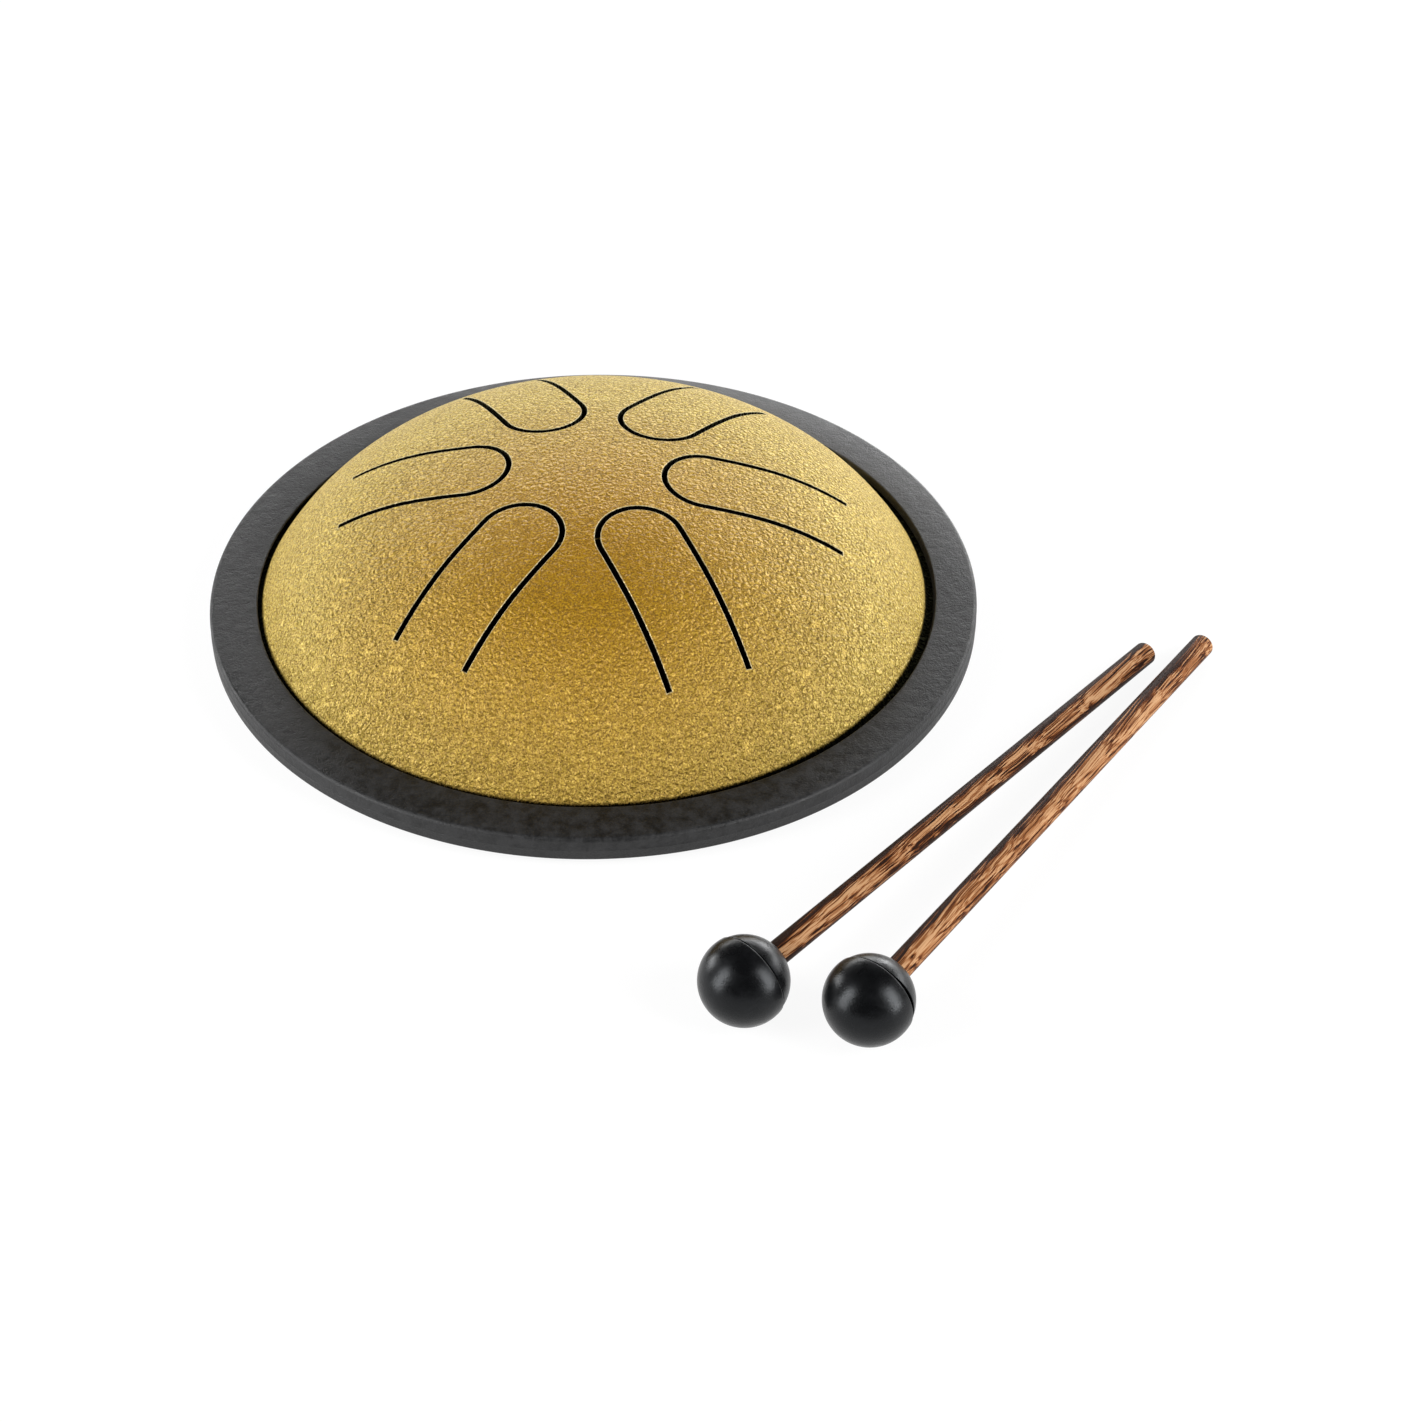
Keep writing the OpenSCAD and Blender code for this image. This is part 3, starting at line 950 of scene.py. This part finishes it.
def head_grid(mallet, turns=144):
    """A moulded ball as circles about an axis that turns from the seam's to the stick's.

    Front half, rounded step, seam groove, rear half of smaller radius, then the stick's blind hole.
    Round the seam, the groove gapes by a power of a cosine."""
    front_r = mallet.head_diameter / 2
    rear_r = front_r - mallet.seam_step
    seam = mallet.seam_distance
    bore = mallet.stick_diameter / 2
    lip_round, rear_round, chamfer = 0.4 * MM, 0.12 * MM, 0.15 * MM
    groove_width, groove_depth, groove_slope = 0.22 * MM, 0.3 * MM, 0.2
    gape_reach, gape_power, gape_depth = radians(52), 1.5, 1.3
    front_rings, rear_rings, shoulder_step = 40, 36, complex(0.05, 0.08) * MM
    squaring = 1.3  # power by which the rear half's axis turns to the stick's
    around = np.linspace(0, 2 * pi, turns, endpoint=False)
    swing = np.angle(np.exp(1j * (around - mallet.gape_turn)))
    opened = np.cos(np.clip(swing / gape_reach, -1, 1) * pi / 2) ** gape_power
    opening = mallet.seam_gape * opened
    width, depth = groove_width + opening, groove_depth + gape_depth * opening

    brow = seam - lip_round
    brow_angle = degrees(np.arccos(brow / front_r))
    front = 1j * front_r * np.exp(-1j * np.radians(np.linspace(180, brow_angle, front_rings)))
    lip = sqrt(front_r**2 - brow**2) - lip_round
    fixed = through(front, arc(complex(lip, brow), lip_round, 0, 90, 5)[1:])
    rows = np.repeat(fixed[:, None], turns, 1)
    wall_r = sqrt(rear_r**2 - seam**2) - rear_round
    floor_front = wall_r - depth + 1j * (seam + 0 * width)
    floor_rear = wall_r - depth + groove_slope * width + 1j * (seam + width)
    rear_angle = np.arccos((seam + width + rear_round) / rear_r)
    hole_angle = asin((bore + chamfer) / rear_r)
    share = np.linspace(0, 1, rear_rings)[:, None]
    rear = 1j * rear_r * np.exp(-1j * (rear_angle * (1 - share) + hole_angle * share))
    shoulder = rear[:1] - shoulder_step
    rear_half = np.concatenate([floor_front[None], floor_rear[None], shoulder, rear])
    hole = through(
        complex(bore, rear[-1, 0].imag - rear_round),
        complex(bore, -mallet.stick_seat),
        complex(0, -mallet.stick_seat),
    )
    grid = np.concatenate([rows, rear_half, np.repeat(hole[:, None], turns, 1)])

    square = np.concatenate([np.zeros(len(rows) + 3), share[:, 0] ** squaring, np.ones(len(hole))])
    lean = mallet.seam_tilt * (1 - square)
    axis = (-sin(mallet.seam_turn), cos(mallet.seam_turn), 0)
    flat = np.stack([grid.real * np.cos(around), grid.real * np.sin(around), grid.imag], -1)
    return np.einsum("rij,rcj->rci", turn_matrix(axis, lean), flat)


class DRUM_OT_mallets(Operator):
    """Two mallets, each a wooden stick glued into a moulded rubber head"""

    bl_idname = "drum.mallets"
    bl_label = "Mallets"

    def execute(self, context):
        for side in ("left", "right"):
            body = f"{side}_mallet"
            mallet = getattr(context.scene, f"{body}_sizes")
            wood = streaky_wood(f"streaky_wood_{side}", mallet)
            stick = stick_mesh(f"{side}_stick", mallet)
            put_piece(stick, wood, body, f"{body}_stick")
            ball = closed_mesh(f"{side}_ball", [(laid(head_grid(mallet), mallet), False, True)])
            put_piece(ball, kept(moulded_black), body, f"{body}_head")
        return {"FINISHED"}


# ---- the studio

# Each lamp: bearing and elevation in degrees, distance, width and height in metres, power in watts
LAMPS = {
    "rear_low": (90, 14, 1.3, 1.6, 0.3, 12.4),
    "left_back": (155, 12, 1.1, 0.5, 0.35, 5.0),
    "right_back": (25, 12, 1.1, 0.5, 0.35, 3.6),
    "soft_left": (208, 22, 1.1, 0.4, 1.0, 13.4),
    "soft_right": (331, 22, 1.1, 0.4, 1.0, 13.6),
    "near_right": (48, 14, 0.5, 0.25, 0.15, 0.78),
}


def floor_white():
    """Matte white that also glows white to the camera and in reflections, save a soft shadow.

    Where the drum covers it, a painted shadow makes it dark, without the glow, and so the drum's
    inside looks dark through slots and port."""
    studio = bpy.context.scene.drum_studio
    dark, pale, fade, strength = (0.02,) * 3, (0.8,) * 3, 6 * MM, 1.05
    white = Finish("floor_white")
    rays = ("Is Camera Ray", "Is Glossy Ray", "Is Transmission Ray")
    camera, glossy, passing = (white.add("LightPath", {}, {}, ray) for ray in rays)
    seen = (camera + glossy + passing).clamp()
    spot = white.vector("MULTIPLY", white.object_place(), (1.0, 1.0, 0.0))
    from_axis = white.vector("LENGTH", spot, output="Value")
    # Painted shadow: no glow and a dark floor under the drum
    clear = from_axis.ramp(studio.dark_radius - fade, studio.dark_radius)
    matte = white.add("BsdfDiffuse", {}, {"Color": white.blend(clear, dark, pale)})
    glow = white.add("Emission", {}, {"Color": (1, 1, 1, 1), "Strength": strength})
    share = seen * clear * (1 - studio.floor_shade)
    both = white.add("MixShader", {}, {0: share, 1: matte, 2: glow})
    white.add("OutputMaterial", {}, {"Surface": both})
    return white.material


class DRUM_OT_studio(Operator):
    """Camera, white floor, soft boxes and the even light from all round"""

    bl_idname = "drum.studio"
    bl_label = "Studio"

    def execute(self, context):
        studio = context.scene.drum_studio
        self.add_camera(context.scene, studio)
        self.add_floor(studio)
        for name, lamp in LAMPS.items():
            self.add_lamp(name, *lamp)
        self.add_sky(context.scene, studio)
        context.scene.view_settings.view_transform = "Standard"
        return {"FINISHED"}

    def add_camera(self, scene, studio):
        """It looks along +Y and down by the elevation, and is rolled about that line."""
        data = bpy.data.cameras.new("view")
        data.sensor_width, data.lens = 36, studio.lens
        data.clip_start, data.clip_end = 0.01, 100
        camera = put_object("view", data)
        forward = Vector((0, cos(studio.elevation), -sin(studio.elevation)))
        upright = Vector((0, sin(studio.elevation), cos(studio.elevation)))
        right = Vector((1, 0, 0)) * cos(studio.roll) + upright * sin(studio.roll)
        up = upright * cos(studio.roll) - Vector((1, 0, 0)) * sin(studio.roll)
        turned = Matrix((right, up, -forward)).transposed().to_4x4()
        camera.matrix_world = Matrix.Translation(studio.eye) @ turned
        scene.camera = camera

    def add_floor(self, studio):
        """A round disc at height 0."""
        rings, turns = 5, 64
        section = np.linspace(0, studio.floor_radius, rings) + 0j
        points = revolved(section, turns).reshape(-1, 3)
        faces = grid_faces(rings, turns, False, True)[:, ::-1]
        mesh = bpy.data.meshes.new("floor")
        mesh.from_pydata(points.tolist(), [], faces.tolist())
        mesh.materials.append(floor_white())
        floor = put_object("floor", mesh)

    def add_lamp(self, name, bearing, elevation, distance, width, height, power):
        """A soft box that faces the drum from that bearing and elevation."""
        data = bpy.data.lights.new(name, "AREA")
        data.shape, data.size, data.size_y, data.energy = "RECTANGLE", width, height, power
        lamp = put_object(name, data)
        level = np.exp(1j * radians(bearing)) * cos(radians(elevation))
        towards = Vector((level.real, level.imag, sin(radians(elevation))))
        lamp.location = towards * distance
        lamp.rotation_euler = towards.to_track_quat("Z", "Y").to_euler()

    def add_sky(self, scene, studio):
        """An even pale light from all round."""
        world = bpy.data.worlds.new("sky")
        world.use_nodes = True
        background = world.node_tree.nodes["Background"]
        background.inputs["Color"].default_value = (1, 1, 1, 1)
        background.inputs["Strength"].default_value = studio.sky
        scene.world = world


# ---- panel and registration

STEPS = (DRUM_OT_dome, DRUM_OT_base, DRUM_OT_ring, DRUM_OT_mallets, DRUM_OT_studio)
GROUPS = {
    "drum_sizes": DrumSizes,
    "left_mallet_sizes": MalletSizes,
    "right_mallet_sizes": MalletSizes,
    "drum_finishes": Finishes,
    "drum_studio": StudioSettings,
}
LEFT_MALLET = {"place": (35.0 * MM, -132.9 * MM), "wood_heart": -0.05, "wood_fall": 1.0}
RIGHT_MALLET = {
    "place": (59.9 * MM, -137.9 * MM),
    "bearing": radians(56.4),
    "seam_tilt": radians(8.3),
    "seam_turn": radians(-153),
    "seam_gape": 0.7 * MM,
    "wood_heart": -0.15,
    "wood_fall": 0.68,
    "wood_seed": 4.0,
    "streak_size": 0.7,
}


class DRUM_PT_panel(Panel):
    """Sizes, colours and building steps"""

    bl_label = "Tongue Drum"
    bl_space_type = "VIEW_3D"
    bl_region_type = "UI"
    bl_category = "Tongue Drum"

    def draw(self, context):
        for step in STEPS:
            self.layout.operator(step.bl_idname)
        for name, group in GROUPS.items():
            box = self.layout.box()
            box.label(text=name.replace("_", " ").capitalize())
            for key in group.__annotations__:
                box.prop(getattr(context.scene, name), key)


CLASSES = (DrumSizes, MalletSizes, Finishes, StudioSettings, *STEPS, DRUM_PT_panel)


def register():
    for item in CLASSES:
        bpy.utils.register_class(item)
    for name, group in GROUPS.items():
        setattr(bpy.types.Scene, name, PointerProperty(type=group))


def unregister():
    for name in GROUPS:
        delattr(bpy.types.Scene, name)
    for item in reversed(CLASSES):
        bpy.utils.unregister_class(item)


def main():
    register()
    scene = bpy.context.scene
    mallets = ((scene.left_mallet_sizes, LEFT_MALLET), (scene.right_mallet_sizes, RIGHT_MALLET))
    for group, values in mallets:
        for key, value in values.items():
            setattr(group, key, value)
    for step in STEPS:
        area, name = step.bl_idname.split(".")
        getattr(getattr(bpy.ops, area), name)()


if __name__ == "__main__":
    main()
